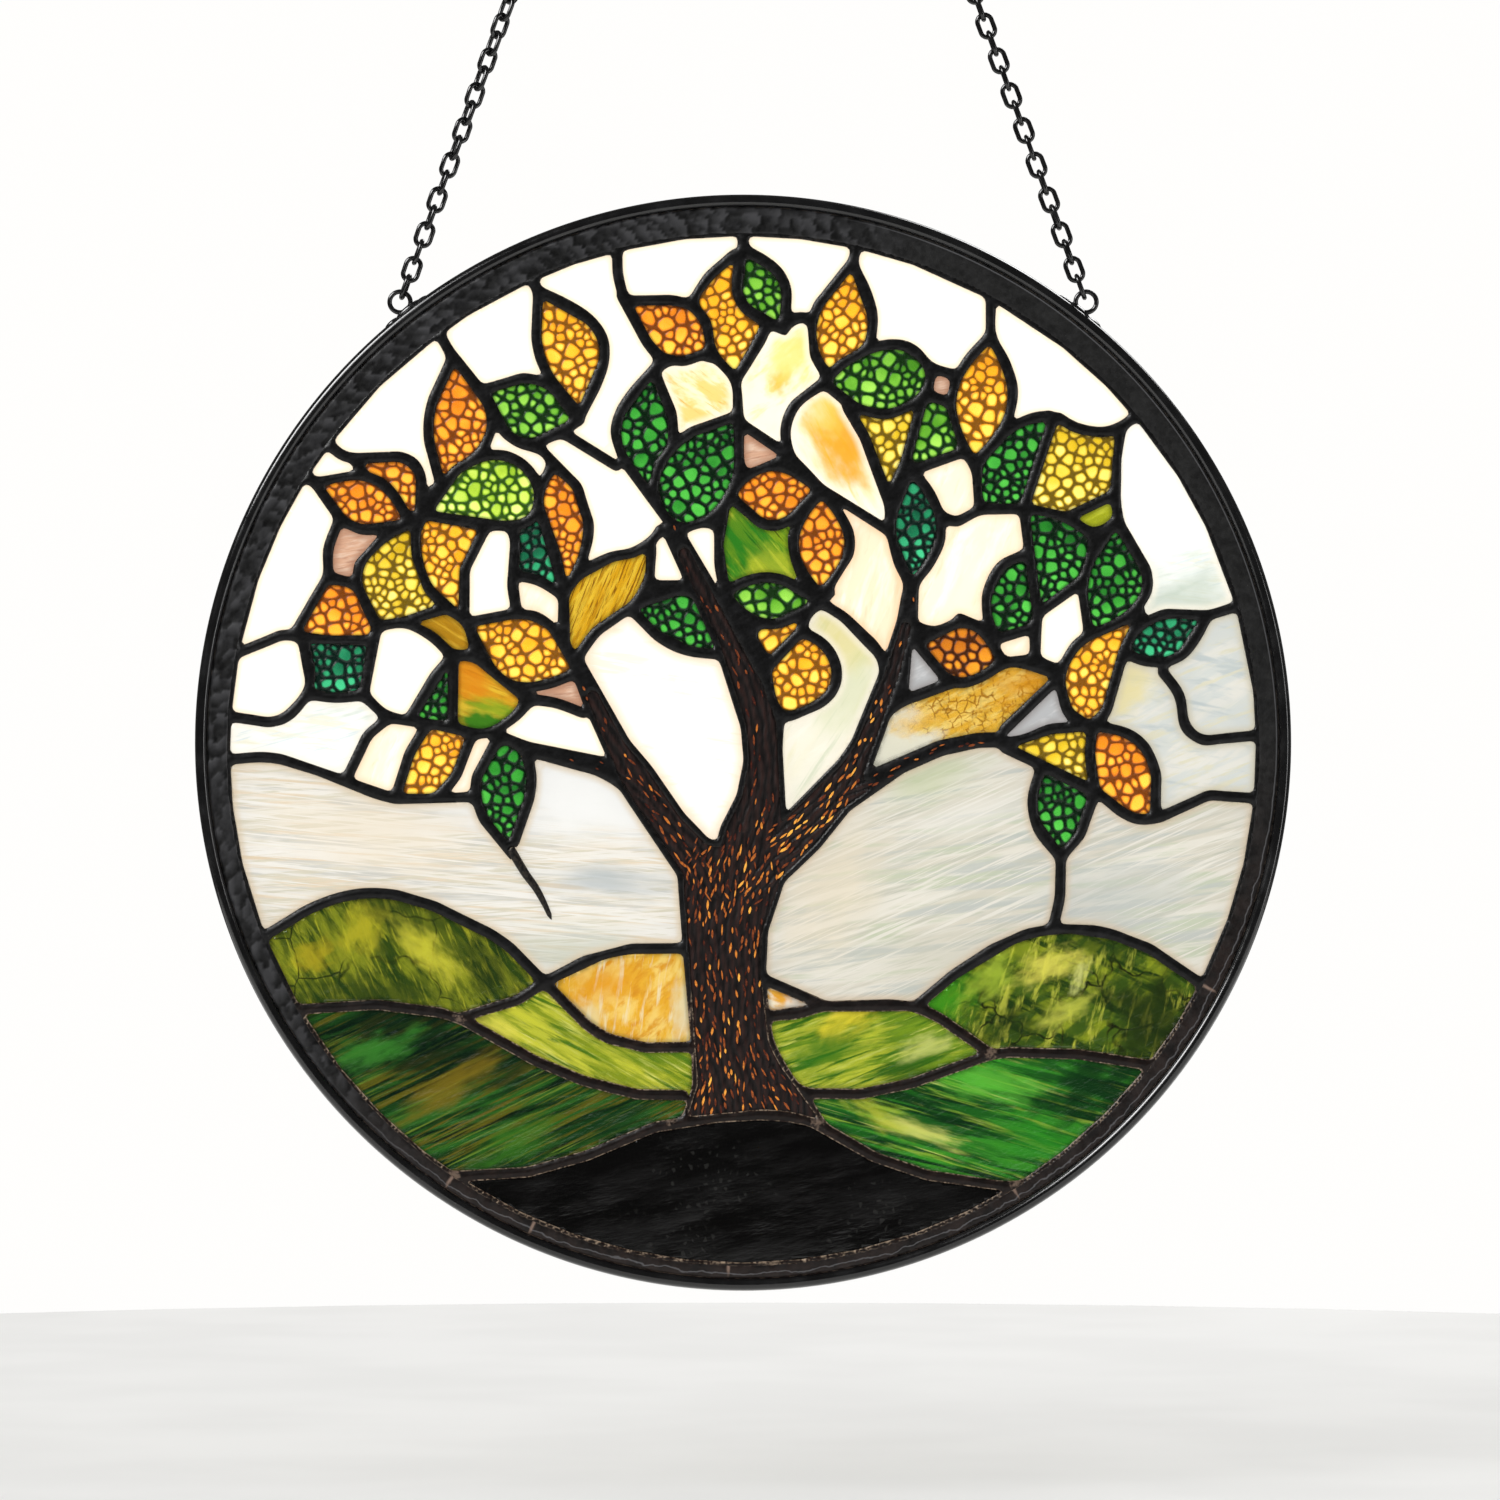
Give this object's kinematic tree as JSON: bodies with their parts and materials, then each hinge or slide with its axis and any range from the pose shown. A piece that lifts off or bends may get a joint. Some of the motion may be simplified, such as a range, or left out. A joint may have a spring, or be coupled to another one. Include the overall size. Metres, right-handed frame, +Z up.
{
  "type": "stained glass suncatcher",
  "caption": "Round leaded stained glass panel with a tree of life, framed by a black metal ring and hung from a plain ring by two chains.",
  "frame": {"origin": "inside top of the hanging ring, where the suncatcher hangs", "axes": "+Z up, +X to the right as seen from the front, front face toward -Y"},
  "size_m": [0.3, 0.007, 0.538],
  "materials": {
    "black_metal": "glossy black enamel on steel wire and ring",
    "grey_came": "dark patinated zinc channel, hammered and smeared with solder",
    "dark_lead": "black patinated solder beads over the leads",
    "sky_glass": "white and cream wispy opalescent glass",
    "cream_glass": "cream opalescent glass with amber clouds",
    "amber_glass": "orange amber crackle glass",
    "gold_glass": "golden yellow crackle glass",
    "lime_glass": "yellow-green crackle glass",
    "green_glass": "leaf green crackle glass",
    "hill_glass": "mottled olive and yellow-green streaky glass",
    "meadow_glass": "yellow-green streaky glass",
    "forest_glass": "dark green streaky glass",
    "honey_glass": "honey yellow opalescent glass",
    "bark_glass": "near-black brown glass with glowing orange flecks along the grain",
    "ground_glass": "opaque black glass"
  },
  "bodies": {
    "root": {"hanging_ring": "black_metal", "left_chain": "black_metal", "right_chain": "black_metal", "round_frame": "black_metal", "border_came": "grey_came", "lead_came": "dark_lead", "sky_pane_1": "sky_glass", "sky_pane_2": "sky_glass", "sky_pane_3": "sky_glass", "sky_pane_4": "sky_glass", "hill_pane_1": "hill_glass", "forest_pane_1": "forest_glass", "sky_pane_5": "sky_glass", "gold_leaf_1": "gold_glass", "sky_pane_6": "sky_glass", "lime_leaf_1": "lime_glass", "amber_leaf_1": "amber_glass", "sky_pane_7": "sky_glass", "ground_pane": "ground_glass", "meadow_pane_1": "meadow_glass", "gold_leaf_2": "gold_glass", "sky_pane_8": "sky_glass", "gold_leaf_3": "gold_glass", "sky_pane_9": "sky_glass", "honey_pane_1": "honey_glass", "gold_leaf_4": "gold_glass", "sky_pane_10": "sky_glass", "tree_trunk": "bark_glass", "green_leaf_1": "green_glass", "sky_pane_11": "sky_glass", "green_leaf_2": "green_glass", "cream_pane_1": "cream_glass", "gold_leaf_5": "gold_glass", "lime_leaf_2": "lime_glass", "cream_pane_2": "cream_glass", "sky_pane_12": "sky_glass", "sky_pane_13": "sky_glass", "meadow_pane_2": "meadow_glass", "cream_pane_3": "cream_glass", "cream_pane_4": "cream_glass", "forest_pane_2": "forest_glass", "gold_leaf_6": "gold_glass", "cream_pane_5": "cream_glass", "green_leaf_3": "green_glass", "sky_pane_14": "sky_glass", "gold_leaf_7": "gold_glass", "cream_pane_6": "cream_glass", "hill_pane_2": "hill_glass", "gold_leaf_8": "gold_glass", "green_leaf_4": "green_glass", "sky_pane_15": "sky_glass", "green_leaf_5": "green_glass", "gold_leaf_9": "gold_glass", "sky_pane_16": "sky_glass", "gold_leaf_10": "gold_glass", "green_leaf_6": "green_glass", "amber_leaf_2": "amber_glass", "sky_pane_17": "sky_glass", "sky_pane_18": "sky_glass", "sky_pane_19": "sky_glass"}
  },
  "joints": []
}
